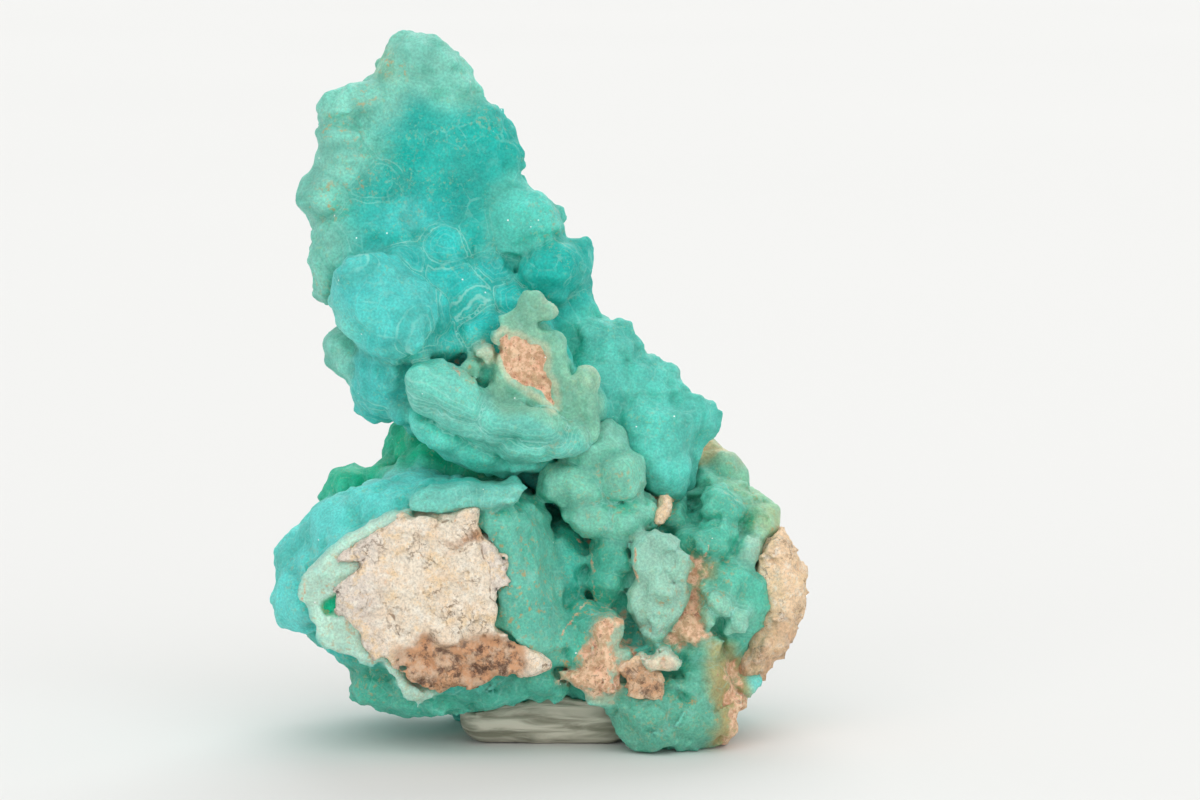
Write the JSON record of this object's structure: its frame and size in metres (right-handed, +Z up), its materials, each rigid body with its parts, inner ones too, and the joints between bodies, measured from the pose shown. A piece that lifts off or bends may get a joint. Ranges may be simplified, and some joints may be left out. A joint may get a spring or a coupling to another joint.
{
  "type": "hemimorphite mineral specimen",
  "caption": "Blue-green botryoidal hemimorphite: a leaning crust of rounded lumps on a lumpy base over cream matrix rock, propped on a putty pad.",
  "frame": {"origin": "middle of the footprint of the whole specimen, on the flat underside of the putty pad", "axes": "+Z up, along the leaning sheet; +Y away from the viewer of the side with the bare rock face; +X to that viewer's right"},
  "size_m": [0.0636, 0.0386, 0.0841],
  "materials": {
    "hemimorphite": "waxy, sugary, slightly translucent",
    "matrix_rock": "rough, crumbly, matt",
    "display_putty": "smooth, matt"
  },
  "bodies": {
    "root": {"hemimorphite_crust": "hemimorphite", "matrix_rock": "matrix_rock", "display_putty": "display_putty"}
  },
  "joints": []
}
